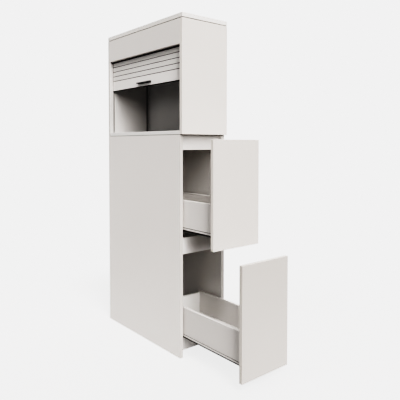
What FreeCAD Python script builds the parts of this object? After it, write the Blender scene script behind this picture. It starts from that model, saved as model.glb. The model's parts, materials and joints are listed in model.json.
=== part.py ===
import FreeCAD, Part
import math
import os

os.makedirs("parts", exist_ok=True)
V = FreeCAD.Vector

# ---------------------------------------------------------------------------
# Driving dimensions, millimetres.
# Frame: +Z up, origin on the floor at the centre of the base.
# -Y is the wide face with the roller curtain, +X the end the drawers leave by,
# +Y the side that stands against the wall.
# ---------------------------------------------------------------------------
LENGTH = 744.0            # overall length along X
DEPTH = 300.0             # overall depth along Y
HEIGHT = 1734.0           # overall height
LOWER_H = 1134.0          # height of the lower module
BOARD = 19.0              # lower carcass boards and drawer fronts
THICK = 22.0              # top panel and sides of the upper module
EDGE = 0.9                # rounding of the board edges
CAP_GAP = 3.4             # shadow gap under the top panel, height and depth
CAP_DEEP = 4.0
JOINT_GAP = 2.4           # shadow gap between the two modules, height and depth
JOINT_DEEP = 3.0

BACK_T = 8.0              # back panel of the upper module
BACK_INSET = 25.0         # wall face to the front of the back panel
FASCIA_H = 130.0          # height of the fascia
HOUSING_T = 8.0           # ceiling board of the compartment
HOUSING_Z = 1560.0
HOUSING_FRONT = 80.0      # front edge of the ceiling board behind the front face

FRONT_SET = 21.0          # lower carcass edge behind the end of the upper module
RAIL_SET = 21.5           # rails behind the lower carcass edge
TOP_RAIL_Z = (1055.0, 1134.0)
MID_RAIL_Z = (522.5, 607.0)
PLINTH_SET = 69.0         # plinth behind the lower carcass edge
PLINTH_H = 79.0
BOTTOM_Z = 60.0           # underside of the lower bottom board

FRONT_H = 519.0           # drawer front height
FRONT_GAP = 2.0           # closed front to carcass edge
FRONT_Z = {"upper": 587.5, "lower": 41.5}     # bottom edge of each front
OPEN = {"upper": 233.0, "lower": 422.0}       # how far each drawer stands open
BOX_L = 600.0             # drawer box length
SIDE_T = 13.0             # drawer side thickness
SIDE_IN = 8.0             # drawer side face inside the carcass panel
SIDE_TOP = 215.0          # drawer side, above the front's bottom edge
SIDE_BOT = 78.0           # underside of its hollow wall
SKIRT_BOT = 65.0          # bottom of the skirt that hides the runner
SIDE_GROOVE = (73.5, 76.7)       # groove between wall and skirt
GROOVE_DEEP = 4.0
SHEET = 1.2               # sheet of the drawer sides
BOX_BOARD = 16.0          # drawer bottom and back
RUN_L = 590.0             # runner length
RUN_T = 1.4               # runner steel
RUN_FLANGE = 50.0         # underside of the cabinet member's flange

PITCH = 28.0              # curtain slat pitch
SLAT_T = 6.0              # slat thickness
SLAT_Y = -128.0           # front face of the curtain
SLAT_GAP = 0.9            # joint between slats
SLAT_LINE = 3.4           # height of the joint's open line at the front
BAR_Z = (1409.5, 1467.5)  # bottom bar as it stands
SEAL_H = 4.0              # soft seal under it
BAR_T = 12.0
FRONT_SLATS = 5           # slats above the bar that always hang straight
STORE_SLATS = 9           # slats that stand in the curtain store
CLOSE = 252.0             # travel from here down to closed
STORE_BACK = 12.0         # each stored slat stands this much further back
STORE_UP = 8.0            # and this much higher than the one before it
TRACK_DEEP = 8.0
TRACK_WALL = 2.6
TRACK_CLEAR = 0.6
TRACK_REAR = 1.0          # rear leg of each track to the back panel
TONGUE = 5.0              # slat ends reach this far into the tracks
BRUSH_DROP = 7.0          # brush strip below the fascia, in front of the slats
BRUSH_T = 2.5
BRUSH_H = 27.0

PULL_L = 128.0
PULL_D = 15.0
PULL_H = 9.0
PULL_Z = 1423.5

FOOT_X, FOOT_Y = 300.0, 140.5    # foot insert places (plus and minus)
FOOT_R, FOOT_OUT, FOOT_DEEP = 4.0, 6.0, 22.0
WALL_X, WALL_Z, WALL_R = 250.0, 1525.0, 3.5

XL, XR = -LENGTH / 2, LENGTH / 2
YF, YB = -DEPTH / 2, DEPTH / 2
XC = XR - FRONT_SET                # front edges of the lower carcass
Z_TOP = HEIGHT - THICK             # underside of the top panel
Z_SILL = LOWER_H + BOARD           # floor of the compartment
Y_BACK = YB - BACK_INSET
XI = XR - THICK                    # inner faces of the upper sides
YI = YF + BOARD                    # inner face of the lower front panel

parts = {}


def box(x0, x1, y0, y1, z0, z1):
    return Part.makeBox(x1 - x0, y1 - y0, z1 - z0, V(x0, y0, z0))


def board(x0, x1, y0, y1, z0, z1, r=EDGE):
    b = box(x0, x1, y0, y1, z0, z1)
    return b.makeFillet(r, b.Edges)


def rod(p, d, r, l):
    return Part.makeCylinder(r, l, V(*p), V(*d))


def extrude_x(points, x0, x1):
    """A closed outline in (y, z) swept along X."""
    pts = [V(x0, y, z) for y, z in points]
    face = Part.Face(Part.makePolygon(pts + [pts[0]]))
    return face.extrude(V(x1 - x0, 0, 0))


def group(shapes):
    return shapes[0] if len(shapes) == 1 else Part.makeCompound(shapes)


def mirror_y(s):
    return s.mirror(V(0, 0, 0), V(0, 1, 0))


def long_edges(s, test):
    """The edges along X whose (y, z) passes the test."""
    out = []
    for e in s.Edges:
        a, b = e.Vertexes[0].Point, e.Vertexes[-1].Point
        if abs(a.y - b.y) < 1e-6 and abs(a.z - b.z) < 1e-6 and abs(a.x - b.x) > 1 and test(a.y, a.z):
            out.append(e)
    return out


# ---------------------------------------------------------------------------
# Upper module
# ---------------------------------------------------------------------------
parts["top_panel"] = board(XL, XR, YF, YB, Z_TOP, HEIGHT, 1.1)
for side, s in (("left", -1), ("right", 1)):
    x0, x1 = (XL, -XI) if s < 0 else (XI, XR)
    p = board(x0, x1, YF, YB, LOWER_H, Z_TOP, 1.1)
    # groove for the curtain track
    gy0 = SLAT_Y - TRACK_CLEAR - TRACK_WALL
    gy1 = SLAT_Y + SLAT_T + TRACK_CLEAR + TRACK_WALL
    gx = sorted((s * XI, s * (XI + TRACK_DEEP)))
    p = p.cut(box(gx[0], gx[1], gy0, gy1, Z_SILL, Z_TOP))
    # and for its rear leg, in front of the back panel
    back = Y_BACK - TRACK_REAR - gy1
    p = p.cut(box(gx[0], gx[1], gy0 + back, gy1 + back, Z_SILL, Z_TOP))
    # shadow gap under the top panel, round the three outer faces
    ox = sorted((s * (XR - CAP_DEEP), s * (XR + 1)))
    for g in (box(ox[0], ox[1], YF - 1, YB + 1, Z_TOP - CAP_GAP, Z_TOP + 1),
              box(x0 - 1, x1 + 1, YF - 1, YF + CAP_DEEP, Z_TOP - CAP_GAP, Z_TOP + 1),
              box(x0 - 1, x1 + 1, YB - CAP_DEEP, YB + 1, Z_TOP - CAP_GAP, Z_TOP + 1)):
        p = p.cut(g)
    parts["upper_%s_side" % side] = p
    # channel liner: open towards the compartment
    t = box(gx[0], gx[1], gy0, gy1, Z_SILL, Z_TOP)
    ix = sorted((s * (XI - 1), s * (XI + TRACK_DEEP - TRACK_WALL)))
    t = t.cut(box(ix[0], ix[1], gy0 + TRACK_WALL, gy1 - TRACK_WALL, Z_SILL - 1, Z_TOP + 1))
    rear = t.copy()
    rear.translate(V(0, back, 0))
    parts["curtain_track_%s" % side] = group([t, rear])

parts["upper_bottom_board"] = board(-XI, XI, YF, YB, LOWER_H, Z_SILL)
parts["upper_back_panel"] = box(-XI, XI, Y_BACK, Y_BACK + BACK_T, Z_SILL, Z_TOP)
parts["fascia"] = board(-XI, XI, YF, YF + BOARD, Z_TOP - FASCIA_H, Z_TOP).cut(
    box(-XI - 1, XI + 1, YF - 1, YF + CAP_DEEP, Z_TOP - CAP_GAP, Z_TOP + 1))
parts["housing_board"] = board(-XI, XI, YF + HOUSING_FRONT, Y_BACK, HOUSING_Z, HOUSING_Z + HOUSING_T, 0.6)
parts["wall_rail"] = board(-XI, XI, Y_BACK + BACK_T, YB, WALL_Z - 35, WALL_Z + 35)

# wall fixing holes go through the back panel and the rail
for x in (-WALL_X, WALL_X):
    h = rod((x, Y_BACK - 1, WALL_Z), (0, 1, 0), WALL_R, BACK_INSET + 2)
    for n in ("upper_back_panel", "wall_rail"):
        parts[n] = parts[n].cut(h)

# ---------------------------------------------------------------------------
# Lower module
# ---------------------------------------------------------------------------
parts["lower_front_panel"] = board(XL, XC, YF, YI, 0, LOWER_H, 1.1)
parts["lower_rear_panel"] = board(XL, XC, -YI, YB, 0, LOWER_H, 1.1)
parts["lower_end_panel"] = board(XL, XL + BOARD, YI, -YI, 0, LOWER_H)
xr1 = XC - RAIL_SET
xr0 = xr1 - BOARD
parts["lower_top_board"] = board(XL + BOARD, xr0, YI, -YI, LOWER_H - BOARD, LOWER_H, 0.5)
parts["top_rail"] = board(xr0, xr1, YI, -YI, *TOP_RAIL_Z)
parts["mid_rail"] = board(xr0, xr1, YI, -YI, *MID_RAIL_Z)
xp1 = XC - PLINTH_SET
xp0 = xp1 - BOARD
parts["plinth"] = board(xp0, xp1, YI, -YI, 0, PLINTH_H)
parts["lower_bottom_board"] = board(XL + BOARD, xp0, YI, -YI, BOTTOM_Z, BOTTOM_Z + BOARD, 0.5)

# shadow gap round the top of the lower module, under the upper one
zg = LOWER_H - JOINT_GAP
for n in ("lower_front_panel", "lower_rear_panel", "lower_end_panel"):
    for g in (box(XL - 1, XC + 1, YF - 1, YF + JOINT_DEEP, zg, LOWER_H + 1),
              box(XL - 1, XC + 1, YB - JOINT_DEEP, YB + 1, zg, LOWER_H + 1),
              box(XL - 1, XL + JOINT_DEEP, YF - 1, YB + 1, zg, LOWER_H + 1)):
        parts[n] = parts[n].cut(g)

# threaded sleeves for levelling feet, let into the bottom edges
sleeves = []
for x in (-FOOT_X, FOOT_X):
    for y in (-FOOT_Y, FOOT_Y):
        n = "lower_front_panel" if y < 0 else "lower_rear_panel"
        parts[n] = parts[n].cut(rod((x, y, -1), (0, 0, 1), FOOT_OUT, FOOT_DEEP + 1))
        sleeves.append(rod((x, y, 0), (0, 0, 1), FOOT_OUT, FOOT_DEEP).cut(rod((x, y, -1), (0, 0, 1), FOOT_R, FOOT_DEEP + 2)))
parts["foot_inserts"] = group(sleeves)

# bolts through the sill board into the lower top board, heads flush in the sill
bolts = []
for x in (-270.0, 230.0):
    for y in (-85.0, 85.0):
        b = rod((x, y, LOWER_H - 15), (0, 0, 1), 3.0, 28).fuse(rod((x, y, Z_SILL - 6), (0, 0, 1), 7.0, 6))
        hexagon = Part.makePolygon([V(x + 2.5 * math.cos(math.radians(60 * i)), y + 2.5 * math.sin(math.radians(60 * i)), Z_SILL - 3) for i in range(7)])
        b = b.removeSplitter()
        bolts.append(b.cut(Part.Face(hexagon).extrude(V(0, 0, 4))))
        for n in ("upper_bottom_board", "lower_top_board"):
            parts[n] = parts[n].cut(rod((x, y, LOWER_H - 15), (0, 0, 1), 3.0, 40))
        parts["upper_bottom_board"] = parts["upper_bottom_board"].cut(rod((x, y, Z_SILL - 6), (0, 0, 1), 7.0, 7))
parts["module_bolts"] = group(bolts)

# cam fittings: a cam in the board's underside and a bolt into the long panel
cams = []
for n, z0, xs in (("lower_top_board", LOWER_H - BOARD, (-290.0, 270.0)), ("lower_bottom_board", BOTTOM_Z, (-290.0, 210.0))):
    zc = z0 + BOARD / 2
    for x in xs:
        for s in (-1, 1):
            cam = rod((x, s * 97.0, z0), (0, 0, 1), 7.5, 13.0)
            bolt = rod((x, s * 97.0, zc), (0, s, 0), 3.0, 45.0).cut(cam)
            parts[n] = parts[n].cut(cam).cut(bolt)
            p = "lower_front_panel" if s < 0 else "lower_rear_panel"
            parts[p] = parts[p].cut(bolt)
            slot = box(x - 3, x + 3, s * 97 - 0.6, s * 97 + 0.6, z0 - 1, z0 + 1.5)
            cams += [cam.cut(slot), bolt]
parts["cam_fittings"] = group(cams)

# dowels: (board, panel, place, direction)
pegs = []
places = []
for s, p in ((-1, "lower_front_panel"), (1, "lower_rear_panel")):
    xm = (xr0 + xr1) / 2
    for z in (1075.0, 1115.0):
        places.append(("top_rail", p, (xm, s * 114.0, z), (0, s, 0)))
    for z in (542.0, 588.0):
        places.append(("mid_rail", p, (xm, s * 114.0, z), (0, s, 0)))
    for z in (20.0, 60.0):
        places.append(("plinth", p, ((xp0 + xp1) / 2, s * 114.0, z), (0, s, 0)))
    for z in (120.0, 567.0, 1040.0):
        places.append(("lower_end_panel", p, (XL + BOARD / 2, s * 114.0, z), (0, s, 0)))
for s, p in ((-1, "upper_left_side"), (1, "upper_right_side")):
    for z in (1610.0, 1690.0):
        places.append(("fascia", p, (s * (XI - 17), YF + BOARD / 2, z), (s, 0, 0)))
    for y in (-90.0, 0.0, 90.0):
        places.append(("upper_bottom_board", p, (s * (XI - 17), y, LOWER_H + BOARD / 2), (s, 0, 0)))
    for y in (-95.0, 0.0, 95.0):
        places.append((p, "top_panel", (s * (XI + THICK / 2 + 2), y, Z_TOP - 17), (0, 0, 1)))
for a, b, at, d in places:
    peg = rod(at, d, 4.0, 29.0)
    pegs.append(peg)
    parts[a] = parts[a].cut(peg)
    parts[b] = parts[b].cut(peg)
# short pins carry the thin ceiling board
for s, p in ((-1, "upper_left_side"), (1, "upper_right_side")):
    for y in (-40.0, 95.0):
        peg = rod((s * (XI - 17), y, HOUSING_Z + HOUSING_T / 2), (s, 0, 0), 2.5, 29.0)
        pegs.append(peg)
        parts["housing_board"] = parts["housing_board"].cut(peg)
        parts[p] = parts[p].cut(peg)
parts["dowels"] = group(pegs)

# ---------------------------------------------------------------------------
# Drawers and their three-part runners
# ---------------------------------------------------------------------------
X_BACK0 = XC + FRONT_GAP - BOX_L          # back end of a closed drawer box
X_FACE0 = XC + FRONT_GAP                  # inner face of a closed front
yo = YI + SIDE_IN                         # outer face of the left drawer side
yi = yo + SIDE_T                          # its inner face
screws = []

for name in ("upper", "lower"):
    zf = FRONT_Z[name]
    o = OPEN[name]
    x0, x1 = X_BACK0 + o, X_FACE0 + o

    front = board(x1, x1 + BOARD, YF, YB, zf, zf + FRONT_H, 1.1)

    # folded side: a hollow wall with a rounded top, a groove below it and a flush skirt
    g0, g1 = zf + SIDE_GROOVE[0], zf + SIDE_GROOVE[1]
    gd = yo + GROOVE_DEEP
    t = SHEET + 0.6
    outline = [
        (yo, g1), (yo, zf + SIDE_TOP), (yi, zf + SIDE_TOP), (yi, zf + SIDE_BOT), (gd + t, zf + SIDE_BOT),
        (gd + t, g0 - t), (yo + t, g0 - t), (yo + t, zf + SKIRT_BOT), (yo, zf + SKIRT_BOT),
        (yo, g0), (gd, g0), (gd, g1),
    ]
    w = SHEET
    hollow = [
        (yo + w, zf + SIDE_BOT + 1.4), (yo + w, zf + SIDE_TOP - w), (yi - w, zf + SIDE_TOP - w),
        (yi - w, zf + SIDE_BOT + 1.4),
    ]
    top = lambda y, z: z > zf + SIDE_TOP - w - 1e-6
    rims = lambda y, z: abs(y - yo) < 1e-6 and z < g1 + 1e-6
    side = extrude_x(outline, x0, x1)
    side = side.makeFillet(3.0, long_edges(side, top))
    side = side.makeFillet(0.5, long_edges(side, rims))
    core = extrude_x(hollow, x0 - 1, x1 + 1)
    core = core.makeFillet(1.8, long_edges(core, top))
    side = side.cut(core)
    sides = {"left": side, "right": mirror_y(side)}

    bottom = board(x0 + BOX_BOARD, x1, yi, -yi, zf + 80, zf + 80 + BOX_BOARD, 0.5)
    back = board(x0, x0 + BOX_BOARD, yi, -yi, zf + 80, zf + 205, 0.6)

    # angle brackets from the front to the sides, with their screws
    brackets, fast = [], []
    for s, n in ((1, "left"), (-1, "right")):
        w = s * yi
        ya = sorted((w, w + s * 1.8))
        yb = sorted((w, w + s * 34.0))
        br = box(x1 - 46, x1, ya[0], ya[1], zf + 112, zf + 188)
        br = br.fuse(box(x1 - 1.8, x1, yb[0], yb[1], zf + 112, zf + 188)).removeSplitter()
        for z in (zf + 130, zf + 170):
            a = rod((x1 - 3.6, w + s * 21.0, z), (1, 0, 0), 4.2, 1.8)
            a = a.fuse(rod((x1 - 1.8, w + s * 21.0, z), (1, 0, 0), 2.0, 14.8)).removeSplitter()
            c = rod((x1 - 28.0, w + s * 3.6, z), (0, -s, 0), 4.2, 1.8)
            c = c.fuse(rod((x1 - 28.0, w + s * 1.8, z), (0, -s, 0), 2.0, 10.8)).removeSplitter()
            br = br.cut(a).cut(c)
            front = front.cut(a)
            sides[n] = sides[n].cut(c)
            cross_a = box(x1 - 4, x1 - 2.7, w + s * 21 - 2.4, w + s * 21 + 2.4, z - 0.5, z + 0.5).fuse(
                box(x1 - 4, x1 - 2.7, w + s * 21 - 0.5, w + s * 21 + 0.5, z - 2.4, z + 2.4))
            yc = sorted((w + s * 2.7, w + s * 4.0))
            cross_c = box(x1 - 30.4, x1 - 25.6, yc[0], yc[1], z - 0.5, z + 0.5).fuse(
                box(x1 - 28.5, x1 - 27.5, yc[0], yc[1], z - 2.4, z + 2.4))
            fast += [a.cut(cross_a), c.cut(cross_c)]
        brackets.append(br)
        # strip on the side that carries the drawer bottom
        yl = sorted((w, w + s * 12.0))
        brackets.append(box(x0 + 20, x1 - 20, yl[0], yl[1], zf + SIDE_BOT, zf + 80))

    # soft pads where the closed front meets the carcass edges
    pads = []
    for y in (-YB + BOARD / 2, YB - BOARD / 2):
        for z in (zf + 12, zf + FRONT_H - 12):
            pad = rod((x1 - 1.6, y, z), (1, 0, 0), 4.0, 1.6)
            pads.append(pad.makeFillet(0.8, [e for e in pad.Edges if abs(e.BoundBox.XMax - (x1 - 1.6)) < 1e-6 and abs(e.BoundBox.XMin - (x1 - 1.6)) < 1e-6]))

    # runner under the drawer: three nested channels, left then mirrored;
    # the cabinet member's flange passes under the skirt to a plate on the panel
    def channel(ya, yb, zb, zt):
        q = RUN_T
        return [(ya, zf + zb), (ya + q, zf + zb), (ya + q, zf + zt - q), (yb - q, zf + zt - q),
                (yb - q, zf + zb), (yb, zf + zb), (yb, zf + zt), (ya, zf + zt)]

    xd0 = x1 - 5.0 - RUN_L
    slide = extrude_x(channel(yo + 6.0, yo + 31.0, 55.5, SIDE_BOT), xd0, xd0 + RUN_L)
    xm0 = -264.0 + o / 2
    mid = extrude_x(channel(yo + 8.4, yo + 28.6, 55.0, 75.6), xm0, xm0 + RUN_L)
    q, fl = RUN_T, RUN_FLANGE
    ca, cb, ct = yo + 10.8, yo + 26.2, 73.2
    cab = extrude_x([
        (YI, zf + fl), (cb, zf + fl), (cb, zf + ct), (ca, zf + ct), (ca, zf + fl + q), (YI + q, zf + fl + q),
        (YI + q, zf + 76.0), (YI, zf + 76.0)], -264.0, 326.0)
    cab = cab.cut(box(-265.0, 327.0, ca + q, cb - q, zf + fl + q, zf + ct - q))

    for x in (-230.0, 20.0, 290.0):
        sc = rod((x, YI + q, zf + 64), (0, -1, 0), 3.4, 0.9).fuse(rod((x, YI + q - 0.9, zf + 64), (0, -1, 0), 1.8, 14.0)).removeSplitter()
        cab = cab.cut(sc)
        parts["lower_front_panel"] = parts["lower_front_panel"].cut(sc)
        parts["lower_rear_panel"] = parts["lower_rear_panel"].cut(mirror_y(sc))
        screws += [sc, mirror_y(sc)]

    # screws up through the drawer member and the strip into the drawer bottom
    strips = {1: brackets[1], -1: brackets[3]}
    for x in (xd0 + 60.0, xd0 + 290.0, xd0 + 530.0):
        sc = rod((x, yo + 19.0, zf + SIDE_BOT - q), (0, 0, 1), 3.4, 0.9).fuse(
            rod((x, yo + 19.0, zf + SIDE_BOT - q + 0.9), (0, 0, 1), 1.8, 13.0)).removeSplitter()
        slide = slide.cut(sc)
        bottom = bottom.cut(sc).cut(mirror_y(sc))
        strips = {1: strips[1].cut(sc), -1: strips[-1].cut(mirror_y(sc))}
        fast += [sc, mirror_y(sc)]
    brackets[1], brackets[3] = strips[1], strips[-1]

    d = name + "_drawer_"
    parts[d + "front"] = front
    parts[d + "left_side"] = sides["left"]
    parts[d + "right_side"] = sides["right"]
    parts[d + "back"] = back
    parts[d + "bottom"] = bottom
    parts[d + "brackets"] = group(brackets)
    parts[d + "screws"] = group(fast)
    parts[d + "bumpers"] = group(pads)
    parts[d + "slides"] = group([slide, mirror_y(slide)])
    parts[name + "_runners"] = group([cab, mirror_y(cab)])
    parts[name + "_runner_mids"] = group([mid, mirror_y(mid)])
parts["runner_screws"] = group(screws)

# ---------------------------------------------------------------------------
# Roller curtain
# ---------------------------------------------------------------------------
SLOPE = (PITCH - STORE_UP) / STORE_BACK    # joint faces run along the slats' relative path
LIP = (SLAT_LINE - SLAT_GAP) / SLOPE       # depth of the level ledge on a slat's top
HOOK = 1.3                                 # front lip of a slat's bottom
POCKET = (3.6, 4.5)                        # pocket behind the lip: how far back, how high


def slat_top(y0, t):
    """Top joint from back to front: a slope and a level front ledge."""
    return [(y0 + SLAT_T, t - SLOPE * SLAT_T), (y0 + LIP, t - SLOPE * LIP), (y0 + 0.3, t - SLOPE * LIP), (y0, t - SLOPE * LIP - 0.3)]


def slat_outline(dy, z0, tall=PITCH):
    """Slat section: sloping joint faces, and a front lip with a pocket behind it that gives the dark joint line."""
    y0 = SLAT_Y + dy
    b = z0 + SLAT_GAP / 2
    t = z0 + tall - SLAT_GAP / 2
    return [
        (y0, b + 0.3), (y0 + 0.3, b), (y0 + HOOK, b), (y0 + HOOK, b + POCKET[1]), (y0 + POCKET[0], b + POCKET[1]),
        (y0 + POCKET[0], b - SLOPE * POCKET[0]), (y0 + SLAT_T, b - SLOPE * SLAT_T),
    ] + slat_top(y0, t)


XT = XI + TONGUE
XS = XI - 1.0
z_first = BAR_Z[1]
parts["curtain_front_slats"] = group([extrude_x(slat_outline(0, z_first + i * PITCH), -XT, XT) for i in range(FRONT_SLATS)])
z_last = z_first + (FRONT_SLATS - 1) * PITCH
for i in range(1, STORE_SLATS + 1):
    parts["curtain_slat_%02d" % (FRONT_SLATS + i)] = extrude_x(slat_outline(i * STORE_BACK, z_last + i * STORE_UP), -XS, XS)

# brush strip behind the fascia's lower edge: a carrier rail and a fringe that hangs clear in front of the slats
by = YF + BOARD
bb = Z_TOP - FASCIA_H - BRUSH_DROP
bt = bb + BRUSH_H
parts["curtain_brush"] = extrude_x([
    (by, bt), (by + BRUSH_T, bt), (by + BRUSH_T, bb + BRUSH_DROP + 5.0), (by + BRUSH_T - 0.25, bb + BRUSH_DROP + 4.5),
    (by + BRUSH_T - 0.25, bb + 0.6), (by + BRUSH_T - 0.6, bb), (by + 0.9, bb), (by + 0.5, bb + 0.6),
    (by + 0.5, bb + BRUSH_DROP + 2.5), (by, bb + BRUSH_DROP + 3.0)], -XI + 1.5, XI - 1.5)

# bottom bar: a thick lower part with a slat-like upper lip that runs in the tracks
bz0, bz1 = BAR_Z
t = bz1 - SLAT_GAP / 2
thin = extrude_x([(SLAT_Y, bz0), (SLAT_Y + SLAT_T, bz0)] + slat_top(SLAT_Y, t), -XT, XT)
thick = box(-XS, XS, SLAT_Y, SLAT_Y + BAR_T, bz0, bz1 - 16.0)
bar = thin.fuse(thick).removeSplitter()
bar = bar.makeFillet(1.0, long_edges(bar, lambda y, z: abs(z - bz0) < 1e-6 and abs(y - SLAT_Y - BAR_T) < 1e-6))
parts["curtain_seal"] = board(-XS + 1.0, XS - 1.0, SLAT_Y + 0.8, SLAT_Y + BAR_T - 1.5, bz0 - SEAL_H, bz0, 0.8)

# ledge pull with a finger scoop underneath
yp = SLAT_Y - PULL_D
pz = PULL_Z
a0 = V(-PULL_L / 2, SLAT_Y - 2.5, pz)
a1 = V(-PULL_L / 2, SLAT_Y - 7.0, pz + 3.8)
a2 = V(-PULL_L / 2, yp + 3.2, pz + 0.3)
corner = [V(-PULL_L / 2, SLAT_Y, pz), a0]
rest = [a2, V(-PULL_L / 2, yp, pz + 0.3), V(-PULL_L / 2, yp, pz + PULL_H - 1.6), V(-PULL_L / 2, SLAT_Y, pz + PULL_H), V(-PULL_L / 2, SLAT_Y, pz)]
edges = [Part.LineSegment(corner[0], corner[1]).toShape(), Part.Arc(a0, a1, a2).toShape()]
edges += [Part.LineSegment(rest[i], rest[i + 1]).toShape() for i in range(len(rest) - 1)]
pull = Part.Face(Part.Wire(edges)).extrude(V(PULL_L, 0, 0))
pull = pull.makeFillet(1.2, long_edges(pull, lambda y, z: abs(y - yp) < 1e-6 and z > pz + 3))
pull = pull.makeFillet(0.8, long_edges(pull, lambda y, z: abs(y - yp) < 1e-6 and z < pz + 3))
pins = []
for x in (-48.0, 48.0):
    zc = pz + 5.9
    pin = rod((x, SLAT_Y + BAR_T + 2.2, zc), (0, -1, 0), 4.5, 2.2)
    pin = pin.fuse(rod((x, SLAT_Y + BAR_T, zc), (0, -1, 0), 1.7, BAR_T + 6.0)).removeSplitter()
    bar = bar.cut(pin)
    pull = pull.cut(pin)
    yx = (SLAT_Y + BAR_T + 1.2, SLAT_Y + BAR_T + 3.0)
    pins.append(pin.cut(box(x - 2.6, x + 2.6, yx[0], yx[1], zc - 0.5, zc + 0.5).fuse(box(x - 0.5, x + 0.5, yx[0], yx[1], zc - 2.6, zc + 2.6))))
parts["curtain_bar"] = bar
parts["curtain_pull"] = pull
parts["pull_screws"] = group(pins)

for n, s in parts.items():
    bad = [k for k, q in enumerate(s.Solids) if not q.isValid() or q.Volume <= 0]
    if bad or not s.Solids:
        print("check", n, len(s.Solids), bad)
    s.exportStep("parts/%s.step" % n)
print(len(parts), "nodes")
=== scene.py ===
import json
import math

import bmesh
import bpy
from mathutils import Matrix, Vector


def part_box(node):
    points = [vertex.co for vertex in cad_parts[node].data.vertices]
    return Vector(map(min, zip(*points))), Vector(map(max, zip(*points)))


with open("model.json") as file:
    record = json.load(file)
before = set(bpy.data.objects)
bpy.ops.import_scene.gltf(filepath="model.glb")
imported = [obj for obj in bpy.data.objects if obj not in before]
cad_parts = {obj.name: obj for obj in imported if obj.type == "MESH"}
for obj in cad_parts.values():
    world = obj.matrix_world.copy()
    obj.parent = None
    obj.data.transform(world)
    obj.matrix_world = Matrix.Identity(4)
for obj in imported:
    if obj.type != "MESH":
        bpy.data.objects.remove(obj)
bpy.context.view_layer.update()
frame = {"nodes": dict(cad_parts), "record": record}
nodes = frame["nodes"]
scene = bpy.context.scene

# ---------------------------------------------------------------------------
# Camera: the photograph's viewing angle
# ---------------------------------------------------------------------------
cam_data = bpy.data.cameras.new("camera")
cam = bpy.data.objects.new("camera", cam_data)
scene.collection.objects.link(cam)
cam.location = (2.2193, -1.5677, 1.0863)
cam.rotation_euler = (math.radians(90 - 1.969), 0.0, math.radians(50.352))
cam_data.sensor_width = 36.0
cam_data.lens = 42.336
cam_data.shift_y = -0.10
cam_data.clip_start, cam_data.clip_end = 0.05, 60.0
cam_data.dof.use_dof = False
scene.camera = cam

# ---------------------------------------------------------------------------
# Light: one tall soft key from the right, made of three wide lights one over the
# other, a weaker pair from the front, wide fills from the left and from behind,
# and an even pale surround
# ---------------------------------------------------------------------------
PALE = 6.66
AMBIENT = 0.12
FLOOR_R = 1.9
FLOOR_TONE = 0.24
FLOOR_GLOW = 4.75


def sun(name, towards, strength, angle, colour=(1.0, 1.0, 1.0)):
    data = bpy.data.lights.new(name, "SUN")
    data.energy = strength
    data.angle = math.radians(angle)
    data.color = colour
    o = bpy.data.objects.new(name, data)
    o.rotation_mode = "QUATERNION"
    o.rotation_quaternion = Vector(towards).to_track_quat("Z", "Y")
    o.location = Vector(towards) * 4.0
    scene.collection.objects.link(o)
    return o


def heading(turn, rise):
    """Direction to a light: turn from +X towards -Y, rise above the floor, in degrees."""
    t, r = math.radians(turn), math.radians(rise)
    return (math.cos(r) * math.cos(t), -math.cos(r) * math.sin(t), math.sin(r))


for name, rise, strength in (("key_low", 15, 7.9), ("key_mid", 35, 7.2), ("key_high", 55, 10.4)):
    sun(name, heading(17, rise), strength, 22.0, (1.0, 0.968, 0.945))
sun("front_high", heading(100, 55), 3.4, 24.0, (1.0, 0.968, 0.945))
sun("front_low", heading(100, 15), 1.2, 24.0, (1.0, 0.968, 0.945))
sun("left_fill", heading(177, 25), 5.2, 80.0, (1.0, 0.98, 0.965))
sun("back_fill", heading(-125, 22), 11.0, 90.0, (1.0, 0.975, 0.955))

world = bpy.data.worlds.new("surround")
scene.world = world
world.use_nodes = True
wt = world.node_tree
wt.nodes.clear()
w_out = wt.nodes.new("ShaderNodeOutputWorld")
w_mix = wt.nodes.new("ShaderNodeMixShader")
w_path = wt.nodes.new("ShaderNodeLightPath")
w_seen = wt.nodes.new("ShaderNodeBackground")
w_glow = wt.nodes.new("ShaderNodeBackground")
w_seen.inputs["Color"].default_value = (PALE, PALE, PALE, 1.0)
w_glow.inputs["Color"].default_value = (AMBIENT, AMBIENT, AMBIENT, 1.0)
wt.links.new(w_path.outputs["Is Camera Ray"], w_mix.inputs[0])
wt.links.new(w_glow.outputs[0], w_mix.inputs[1])
wt.links.new(w_seen.outputs[0], w_mix.inputs[2])
wt.links.new(w_mix.outputs[0], w_out.inputs["Surface"])

# ---------------------------------------------------------------------------
# Tone: a film-like curve with a soft shoulder and a soft toe
# ---------------------------------------------------------------------------
SPAN = 12.0
CONTRAST = 1.5


def tone(u):
    d = u ** CONTRAST / (u ** CONTRAST + 1.0)
    return d / 12.92 if d <= 0.04045 else ((d + 0.055) / 1.055) ** 2.4


vs = scene.view_settings
vs.view_transform = "Standard"
vs.look = "None"
vs.exposure = 0.0
vs.gamma = 1.0
vs.use_curve_mapping = True
cm = vs.curve_mapping
cm.black_level = (0.0, 0.0, 0.0)
cm.white_level = (SPAN, SPAN, SPAN)
cm.use_clip = False
film = cm.curves[3]
knots = (0.0, 0.2, 0.4, 0.7, 1.0, 1.4, 1.9, 2.5, 3.3, 4.3, 5.6, 7.2, 9.2, SPAN)
while len(film.points) < len(knots):
    film.points.new(0.5, 0.5)
for q, u in zip(film.points, knots):
    q.location = (u / SPAN, tone(u))
    q.handle_type = "AUTO_CLAMPED"
cm.update()


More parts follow.
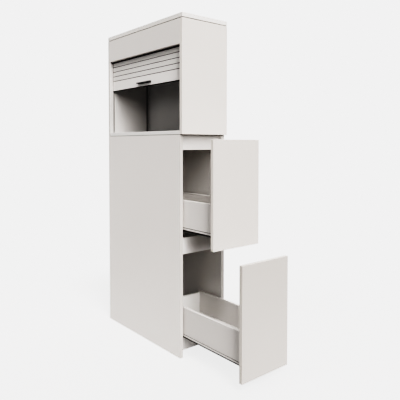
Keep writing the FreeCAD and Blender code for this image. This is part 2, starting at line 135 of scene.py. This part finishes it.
# ---------------------------------------------------------------------------
# Material building blocks
# ---------------------------------------------------------------------------
class Mat:
    """A node material around one Principled shader, with the object's own metres as texture space."""

    def __init__(self, name):
        self.m = bpy.data.materials.new(name)
        self.m.use_nodes = True
        self.nt = self.m.node_tree
        self.nt.nodes.clear()
        self.out = self.nt.nodes.new("ShaderNodeOutputMaterial")
        self.bsdf = self.nt.nodes.new("ShaderNodeBsdfPrincipled")
        self.nt.links.new(self.bsdf.outputs[0], self.out.inputs["Surface"])
        self.co = self.nt.nodes.new("ShaderNodeTexCoord").outputs["Object"]
        self.normal = None

    def put(self, socket, value):
        if isinstance(value, bpy.types.NodeSocket):
            self.nt.links.new(value, socket)
        else:
            socket.default_value = value

    def set(self, **values):
        for k, v in values.items():
            self.put(self.bsdf.inputs[k.replace("_", " ")], v)

    def stretch(self, sx, sy, sz):
        n = self.nt.nodes.new("ShaderNodeMapping")
        n.inputs["Scale"].default_value = (sx, sy, sz)
        self.nt.links.new(self.co, n.inputs["Vector"])
        return n.outputs[0]

    def noise(self, scale, detail=2.0, rough=0.5, at=None, distortion=0.0):
        n = self.nt.nodes.new("ShaderNodeTexNoise")
        n.inputs["Scale"].default_value = scale
        n.inputs["Detail"].default_value = detail
        n.inputs["Roughness"].default_value = rough
        n.inputs["Distortion"].default_value = distortion
        self.nt.links.new(at if at is not None else self.co, n.inputs["Vector"])
        return n.outputs["Fac"]

    def math(self, op, a, b=0.0):
        n = self.nt.nodes.new("ShaderNodeMath")
        n.operation = op
        self.put(n.inputs[0], a)
        self.put(n.inputs[1], b)
        return n.outputs[0]

    def ramp(self, value, a, b, to_a, to_b, smooth=False):
        n = self.nt.nodes.new("ShaderNodeMapRange")
        n.clamp = True
        n.interpolation_type = "SMOOTHSTEP" if smooth else "LINEAR"
        self.put(n.inputs["Value"], value)
        for k, v in (("From Min", a), ("From Max", b), ("To Min", to_a), ("To Max", to_b)):
            n.inputs[k].default_value = v
        return n.outputs[0]

    def mix(self, fac, a, b, blend="MIX"):
        n = self.nt.nodes.new("ShaderNodeMix")
        n.data_type = "RGBA"
        n.blend_type = blend
        self.put(n.inputs["Factor"], fac)
        for k, v in ((6, a), (7, b)):
            self.put(n.inputs[k], v if isinstance(v, bpy.types.NodeSocket) else (*v, 1.0))
        return n.outputs[2]

    def bump(self, height, strength, distance):
        n = self.nt.nodes.new("ShaderNodeBump")
        n.inputs["Strength"].default_value = strength
        n.inputs["Distance"].default_value = distance
        self.nt.links.new(height, n.inputs["Height"])
        if self.normal is not None:
            self.nt.links.new(self.normal, n.inputs["Normal"])
        self.normal = n.outputs[0]

    def done(self):
        if self.normal is not None:
            self.nt.links.new(self.normal, self.bsdf.inputs["Normal"])
        return self.m


def shade(c, k):
    return tuple(x * k for x in c)


LACQUER = (0.711, 0.697, 0.683)


def board_material(node, thin, tone=1.0, edge=0.98, gap=0.0, cool=0.0, outer=1.0):
    """Satin lacquer on board: soft cloudiness, fine orange peel, and an edge band with its hairline joint.
    thin is the axis of the board's thickness, tone a painted light and shade factor that makes the board a lighter
    or darker copy of the one lacquer, edge the painted light and shade tone of the edge band or a pair for the left
    and the right end, gap the height of the shadow gap along the top edge, whose faces are painted near-black as
    shade, cool a cooler tint painted as the light in shade, or a warmer one below zero painted as the warm key
    light, and outer the factor that lifts the outer face back up over a base painted darker as the inner face's
    shade."""
    lo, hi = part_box(node)
    m = Mat("lacquered_board_" + node)
    sep = m.nt.nodes.new("ShaderNodeSeparateXYZ")
    m.nt.links.new(m.co, sep.inputs[0])
    reach = []
    for i in range(3):
        if i != thin:
            reach.append(m.math("MINIMUM", m.math("SUBTRACT", sep.outputs[i], lo[i]), m.math("SUBTRACT", hi[i], sep.outputs[i])))
    rim = m.math("MINIMUM", reach[0], reach[1])
    band = m.ramp(rim, 0.0012, 0.0014, 1.0, 0.0)
    joint = m.ramp(m.math("ABSOLUTE", m.math("SUBTRACT", rim, 0.0013)), 0.00006, 0.00018, 1.0, 0.0)

    cloud = m.noise(2.3, 3.0, 0.55)
    hand = m.noise(11.0, 4.0, 0.6, distortion=0.4)
    peel = m.noise(430.0, 1.5, 0.5)
    grit = m.noise(1500.0, 1.0, 0.5)
    wave = m.noise(6.0, 1.0, 0.5)

    # tone is painted light and shade: a lighter copy of the lacquer on lit boards, a darker copy on shaded boards
    base = shade(LACQUER, tone)
    # cool is painted light: a cooler tint on boards that lie in shade, a warmer one below zero on boards in the
    # warm key light
    base = (base[0] * (1 - cool), base[1], base[2] * (1 + cool))
    col = m.mix(m.ramp(cloud, 0.3, 0.7, 0.0, 1.0), shade(base, 0.982), shade(base, 1.012))
    col = m.mix(m.ramp(grit, 0.35, 0.7, 0.0, 0.4), col, shade(base, 0.965))
    # The edge band's tone per board and per end is painted light and shade: lighter where the edge catches the
    # light, darker where it lies in shade, as on the right end of the lower front panel beside the drawer fronts
    left, right = edge if isinstance(edge, tuple) else (edge, edge)
    tape = (base[0], base[1] * 0.996, base[2] * 0.985)
    tape_painted_light_col = shade(tape, left)
    if left != right:
        tape_painted_light_col = m.mix(m.ramp(sep.outputs[0], -0.05, 0.05, 0.0, 1.0), shade(tape, left), shade(tape, right))
    col = m.mix(m.math("MULTIPLY", band, 0.8), col, tape_painted_light_col)
    col = m.mix(m.math("MULTIPLY", joint, 0.35), col, shade(base, 0.45))
    # Painted shade: the faces inside the shadow gap along the top edge are coloured near-black, darker than the
    # recess alone makes them
    if gap:
        col = m.mix(m.ramp(sep.outputs[2], hi[2] - gap + 0.0001, hi[2] - gap + 0.0003, 0.0, 1.0), col, (0.10, 0.097, 0.094))
    # The base tone of this board is painted dark as the shade on its inner face; here the outer face is scaled back
    # up to a plain lacquer tone
    if outer != 1.0:
        skin = m.nt.nodes.new("ShaderNodeVectorMath")
        skin.operation = "SCALE"
        m.nt.links.new(col, skin.inputs[0])
        m.nt.links.new(m.ramp(sep.outputs[thin], lo[thin] + 0.0012, lo[thin] + 0.0016, outer, 1.0), skin.inputs["Scale"])
        col = skin.outputs[0]
    rough = m.math("SUBTRACT", m.ramp(hand, 0.3, 0.72, 0.37, 0.47), m.math("MULTIPLY", band, 0.06))
    m.bump(wave, 0.05, 0.003)
    m.bump(peel, 0.07, 0.0003)
    m.bump(m.math("SUBTRACT", 1.0, joint), 0.25, 0.0003)
    m.set(Base_Color=col, Roughness=rough, IOR=1.49)
    return m.done()


def drawer_board_material():
    """Coated drawer board: matt white with a fine pearl grain."""
    m = Mat("drawer_board")
    pearl = m.noise(700.0, 2.0, 0.6)
    cloud = m.noise(3.0, 3.0, 0.5)
    base = (0.74, 0.735, 0.72)
    col = m.mix(m.ramp(cloud, 0.3, 0.7, 0.0, 1.0), shade(base, 0.975), base)
    col = m.mix(m.ramp(pearl, 0.45, 0.75, 0.0, 0.35), col, shade(base, 0.9))
    m.bump(pearl, 0.16, 0.0003)
    m.set(Base_Color=col, Roughness=m.ramp(pearl, 0.3, 0.7, 0.46, 0.58), IOR=1.48)
    return m.done()


def coated_steel_material(node=None, tone=1.0):
    """Powder-coated folded sheet: pale grey, with the coat's fine grain, tone a painted shade factor that makes the
    coat a darker copy, and on a drawer side a near-black line painted inside the groove above its skirt as the
    groove's shade."""
    m = Mat("coated_steel_" + node if node else "coated_steel")
    grain = m.noise(1250.0, 2.0, 0.55)
    leather = m.noise(360.0, 1.0, 0.5)
    cloud = m.noise(4.0, 2.0, 0.5)
    # tone darkens the coat as painted shade
    base = shade((0.812, 0.790, 0.770), tone)
    col = m.mix(m.ramp(cloud, 0.3, 0.7, 0.0, 1.0), shade(base, 0.985), shade(base, 1.01))
    col = m.mix(m.ramp(grain, 0.5, 0.8, 0.0, 0.4), col, shade(base, 0.93))
    if node:
        lo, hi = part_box(node)
        sep = m.nt.nodes.new("ShaderNodeSeparateXYZ")
        m.nt.links.new(m.co, sep.inputs[0])
        deep = m.math("SUBTRACT", sep.outputs[1], lo[1]) if lo[1] < 0 else m.math("SUBTRACT", hi[1], sep.outputs[1])
        up = m.math("SUBTRACT", sep.outputs[2], lo[2])
        # Painted shade: a near-black line inside the groove above the skirt, where the groove lies in shade
        groove = m.math("MULTIPLY", m.ramp(deep, 0.0008, 0.0012, 0.0, 1.0), m.ramp(deep, 0.0042, 0.0044, 1.0, 0.0))
        groove = m.math("MULTIPLY", groove, m.math("MULTIPLY", m.ramp(up, 0.0082, 0.0084, 0.0, 1.0), m.ramp(up, 0.0118, 0.0120, 1.0, 0.0)))
        col = m.mix(groove, col, (0.07, 0.069, 0.067))
    m.bump(leather, 0.08, 0.0004)
    m.bump(grain, 0.12, 0.0002)
    m.set(Base_Color=col, Roughness=m.ramp(leather, 0.3, 0.7, 0.34, 0.44), IOR=1.5)
    return m.done()


def zinc_material():
    """Bright zinc plate on rolled steel: faint streaks along X and a cloudy passivated tint."""
    m = Mat("zinc_steel")
    streak = m.noise(1.0, 3.0, 0.6, at=m.stretch(9.0, 900.0, 900.0))
    cloud = m.noise(30.0, 3.0, 0.6)
    fine = m.noise(1600.0, 1.0, 0.5)
    col = m.mix(m.ramp(cloud, 0.3, 0.7, 0.0, 1.0), (0.56, 0.58, 0.61), (0.68, 0.68, 0.66))
    col = m.mix(m.ramp(streak, 0.4, 0.75, 0.0, 0.4), col, (0.46, 0.47, 0.49))
    m.bump(streak, 0.12, 0.0002)
    m.bump(fine, 0.05, 0.0001)
    m.set(Base_Color=col, Metallic=1.0, Roughness=m.math("ADD", m.ramp(cloud, 0.3, 0.7, 0.22, 0.34), m.ramp(streak, 0.3, 0.8, 0.0, 0.08)))
    return m.done()


def dark_steel_material():
    """Dark plated rolled steel: streaks along X over a smoky grey; its dark grey partly stands in as painted shade
    for the shadow under the drawer skirts.
    """
    m = Mat("dark_steel")
    streak = m.noise(1.0, 3.0, 0.6, at=m.stretch(9.0, 900.0, 900.0))
    cloud = m.noise(26.0, 3.0, 0.6)
    fine = m.noise(1600.0, 1.0, 0.5)
    col = m.mix(m.ramp(cloud, 0.3, 0.7, 0.0, 1.0), (0.085, 0.085, 0.09), (0.13, 0.128, 0.125))
    col = m.mix(m.ramp(streak, 0.4, 0.75, 0.0, 0.5), col, (0.06, 0.06, 0.064))
    m.bump(streak, 0.12, 0.0002)
    m.bump(fine, 0.05, 0.0001)
    m.set(Base_Color=col, Metallic=0.65, Roughness=m.math("ADD", m.ramp(cloud, 0.3, 0.7, 0.34, 0.46), m.ramp(streak, 0.3, 0.8, 0.0, 0.08)))
    return m.done()


def brush_material():
    """Black brush fringe: fine upright bristles under a smooth carrier strip; its black also stands in as painted
    shade for the shadow under the fascia.
    """
    m = Mat("brush_fibre")
    hair = m.noise(1.0, 2.0, 0.6, at=m.stretch(2600.0, 700.0, 26.0), distortion=0.3)
    clump = m.noise(1.0, 2.0, 0.5, at=m.stretch(240.0, 60.0, 8.0))
    col = m.mix(m.ramp(hair, 0.35, 0.7, 0.0, 1.0), (0.006, 0.006, 0.006), (0.030, 0.030, 0.030))
    col = m.mix(m.ramp(clump, 0.4, 0.7, 0.0, 0.5), col, (0.014, 0.014, 0.014))
    m.bump(hair, 0.6, 0.0006)
    m.set(Base_Color=col, Roughness=m.ramp(hair, 0.3, 0.7, 0.55, 0.75), IOR=1.5)
    return m.done()


def pad_material():
    """Soft clear bumper pad."""
    m = Mat("clear_pad")
    cloud = m.noise(400.0, 2.0, 0.5)
    m.bump(cloud, 0.1, 0.0002)
    col = m.mix(cloud, (0.78, 0.79, 0.79), (0.86, 0.86, 0.85))
    m.set(Base_Color=col, Roughness=m.ramp(cloud, 0.3, 0.7, 0.22, 0.32), IOR=1.47, Transmission_Weight=0.55)
    return m.done()


def beech_material():
    """Turned dowel: pale wood with grain along the length and short dark flecks."""
    m = Mat("beech")
    grain = m.noise(1.0, 4.0, 0.6, at=m.stretch(260.0, 22.0, 260.0), distortion=0.8)
    fleck = m.noise(1.0, 1.0, 0.5, at=m.stretch(900.0, 160.0, 900.0))
    col = m.mix(m.ramp(grain, 0.3, 0.7, 0.0, 1.0), (0.47, 0.29, 0.15), (0.64, 0.44, 0.26))
    col = m.mix(m.ramp(fleck, 0.62, 0.7, 0.0, 0.5), col, (0.3, 0.16, 0.08))
    m.bump(grain, 0.3, 0.0003)
    m.set(Base_Color=col, Roughness=m.ramp(grain, 0.3, 0.7, 0.55, 0.7))
    return m.done()


def track_material():
    """Extruded grey track liner."""
    m = Mat("track_plastic")
    line = m.noise(1.0, 2.0, 0.5, at=m.stretch(1400.0, 1400.0, 6.0))
    cloud = m.noise(12.0, 2.0, 0.5)
    col = m.mix(m.ramp(cloud, 0.3, 0.7, 0.0, 1.0), (0.235, 0.23, 0.225), (0.285, 0.28, 0.274))
    m.bump(line, 0.15, 0.0002)
    m.set(Base_Color=col, Roughness=m.ramp(line, 0.3, 0.7, 0.42, 0.56), IOR=1.48)
    return m.done()


def slat_material(name, tone, node, above=None):
    """Extruded curtain slat: satin skin with draw lines along its length, tone a painted light factor that makes it
    a lighter copy of the lacquer, and a soft hinge strip on the joint faces behind the skin, painted near-black as
    the shade in the joints. above limits the strip to the part of the node above that height."""
    m = Mat(name)
    y0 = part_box(node)[0][1]
    sep = m.nt.nodes.new("ShaderNodeSeparateXYZ")
    m.nt.links.new(m.co, sep.inputs[0])
    back = m.math("SUBTRACT", sep.outputs[1], y0)
    # Painted shade: the joint faces behind the skin are coloured near-black, as the shade in the grooves between
    # slats
    strip = m.math("MULTIPLY", m.ramp(back, 0.0004, 0.0007, 0.0, 1.0), m.ramp(back, 0.0055, 0.0057, 1.0, 0.0))
    if above is not None:
        strip = m.math("MULTIPLY", strip, m.ramp(sep.outputs[2], above, above + 0.0005, 0.0, 1.0))
    line = m.noise(1.0, 2.0, 0.5, at=m.stretch(2.5, 1100.0, 1100.0))
    skin = m.noise(900.0, 1.0, 0.5)
    cloud = m.noise(3.5, 2.0, 0.5)
    # tone is painted light: a lighter copy of the lacquer
    base = shade(LACQUER, tone)
    col = m.mix(m.ramp(cloud, 0.3, 0.7, 0.0, 1.0), shade(base, 0.98), shade(base, 1.01))
    col = m.mix(m.ramp(line, 0.5, 0.8, 0.0, 0.35), col, shade(base, 0.94))
    col = m.mix(strip, col, (0.035, 0.034, 0.033))
    m.bump(line, 0.10, 0.0003)
    m.bump(skin, 0.08, 0.0001)
    rough = m.math("ADD", m.ramp(line, 0.3, 0.7, 0.36, 0.46), m.math("MULTIPLY", strip, 0.25))
    m.set(Base_Color=col, Roughness=rough, IOR=1.5)
    return m.done()


def black_material():
    """Satin black metal, brushed along X under the finish."""
    m = Mat("black_metal")
    brush = m.noise(1.0, 3.0, 0.6, at=m.stretch(20.0, 2200.0, 2200.0))
    cloud = m.noise(60.0, 2.0, 0.5)
    col = m.mix(m.ramp(brush, 0.35, 0.75, 0.0, 1.0), (0.026, 0.026, 0.027), (0.052, 0.052, 0.054))
    m.bump(brush, 0.15, 0.0001)
    m.set(Base_Color=col, Roughness=m.ramp(cloud, 0.3, 0.7, 0.32, 0.44), IOR=1.5, Specular_IOR_Level=0.5)
    return m.done()


def rubber_material():
    """Soft black seal."""
    m = Mat("seal_rubber")
    skin = m.noise(1200.0, 2.0, 0.5)
    col = m.mix(m.ramp(skin, 0.3, 0.7, 0.0, 1.0), (0.018, 0.018, 0.018), (0.035, 0.035, 0.034))
    m.bump(skin, 0.3, 0.0002)
    m.set(Base_Color=col, Roughness=m.ramp(skin, 0.3, 0.7, 0.62, 0.78), IOR=1.45)
    return m.done()


# ---------------------------------------------------------------------------
# Materials onto the nodes
# ---------------------------------------------------------------------------
X, Y, Z = 0, 1, 2
CAP, SEAM = 0.0034, 0.0024
# Per board: thin axis, tone, edge tone, shadow gap height, cool tint and outer factor. The tones, edge tones, tints
# and outer factors are painted light and shade: lit boards get lighter copies of the lacquer, shaded boards darker
# ones
BOARDS = {
    "top_panel": (Z, 1.0, 1.2), "upper_left_side": (X, 0.69, 1.58, CAP, 0.0, 1.38), "upper_right_side": (X, 0.96, 1.18, CAP, -0.022),
    "upper_bottom_board": (Z, 0.88, 1.42, 0.0, 0.015), "upper_back_panel": (Y, 0.84, 0.98, 0.0, 0.02),
    "fascia": (Y, 1.09, 0.98, CAP, -0.012), "housing_board": (Z, 0.96, 0.98, 0.0, 0.03), "wall_rail": (Y, 0.97),
    "lower_front_panel": (Y, 1.16, (0.84, 0.50), SEAM, -0.01), "lower_rear_panel": (Y, 1.0, 0.98, SEAM), "lower_end_panel": (X, 0.95, 0.98, SEAM),
    "lower_top_board": (Z, 0.99), "lower_bottom_board": (Z, 0.98), "top_rail": (X, 0.90), "mid_rail": (X, 0.90),
    "plinth": (X, 1.25), "upper_drawer_front": (X, 0.88, 1.16, 0.0, -0.022), "lower_drawer_front": (X, 0.71, 1.08, 0.0, -0.022),
}
by_slot = {
    "drawer_board": drawer_board_material(), "coated_steel": coated_steel_material(), "zinc_steel": zinc_material(),
    "dark_steel": dark_steel_material(), "brush_fibre": brush_material(),
    "clear_pad": pad_material(), "beech": beech_material(), "track_plastic": track_material(),
    "black_metal": black_material(), "seal_rubber": rubber_material(),
}
# Drawer sides: painted shade, both darker copies of the coat, the lower drawer's sides darker than the upper's
by_node = {"%s_drawer_%s_side" % (d, e): coated_steel_material("%s_drawer_%s_side" % (d, e), k)
           for d, k in (("upper", 0.92), ("lower", 0.77)) for e in ("left", "right")}
# The bar's tone 1.25 and the slats' 1.14 are painted light, lighter copies of the same plastic
by_node["curtain_bar"] = (slat_material("curtain_bar_plastic", 1.25, "curtain_bar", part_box("curtain_bar")[1][2] - 0.0135))
for name in nodes:
    if name == "curtain_front_slats" or name.startswith("curtain_slat_"):
        by_node[name] = slat_material(name + "_plastic", 1.14, name)
slot_of = {s["node"]: s["material_slot"] for s in frame["record"]["subparts"]}
for name, o in nodes.items():
    mat = board_material(name, *BOARDS[name]) if name in BOARDS else by_node.get(name) or by_slot[slot_of[name]]
    for s in o.material_slots:
        s.material = mat

# ---------------------------------------------------------------------------
# Floor
# ---------------------------------------------------------------------------
me = bpy.data.meshes.new("floor")
bm = bmesh.new()
bmesh.ops.create_circle(bm, cap_ends=True, radius=FLOOR_R, segments=128)
bm.to_mesh(me)
bm.free()
floor = bpy.data.objects.new("floor", me)
floor.location = (0.15, 0.0, -0.0003)
scene.collection.objects.link(floor)
fm = bpy.data.materials.new("pale_floor")
fm.use_nodes = True
ft = fm.node_tree
ft.nodes.clear()
f_out = ft.nodes.new("ShaderNodeOutputMaterial")
f_fade = ft.nodes.new("ShaderNodeMixShader")
f_clear = ft.nodes.new("ShaderNodeBsdfTransparent")
f_add = ft.nodes.new("ShaderNodeAddShader")
f_matt = ft.nodes.new("ShaderNodeBsdfDiffuse")
f_glow = ft.nodes.new("ShaderNodeEmission")
f_co = ft.nodes.new("ShaderNodeTexCoord")
f_len = ft.nodes.new("ShaderNodeVectorMath")
f_ramp = ft.nodes.new("ShaderNodeMapRange")
f_path = ft.nodes.new("ShaderNodeLightPath")
f_gain = ft.nodes.new("ShaderNodeMath")
f_matt.inputs["Color"].default_value = (FLOOR_TONE, FLOOR_TONE, FLOOR_TONE, 1.0)
f_gain.operation = "MULTIPLY"
f_gain.inputs[1].default_value = FLOOR_GLOW
ft.links.new(f_path.outputs["Is Camera Ray"], f_gain.inputs[0])
ft.links.new(f_gain.outputs[0], f_glow.inputs["Strength"])
ft.links.new(f_matt.outputs[0], f_add.inputs[0])
ft.links.new(f_glow.outputs[0], f_add.inputs[1])
f_len.operation = "LENGTH"
ft.links.new(f_co.outputs["Object"], f_len.inputs[0])
ft.links.new(f_len.outputs["Value"], f_ramp.inputs["Value"])
f_ramp.interpolation_type = "SMOOTHSTEP"
for k, v in (("From Min", FLOOR_R * 0.55), ("From Max", FLOOR_R * 0.97), ("To Min", 0.0), ("To Max", 1.0)):
    f_ramp.inputs[k].default_value = v
ft.links.new(f_ramp.outputs[0], f_fade.inputs[0])
ft.links.new(f_add.outputs[0], f_fade.inputs[1])
ft.links.new(f_clear.outputs[0], f_fade.inputs[2])
ft.links.new(f_fade.outputs[0], f_out.inputs["Surface"])
me.materials.append(fm)
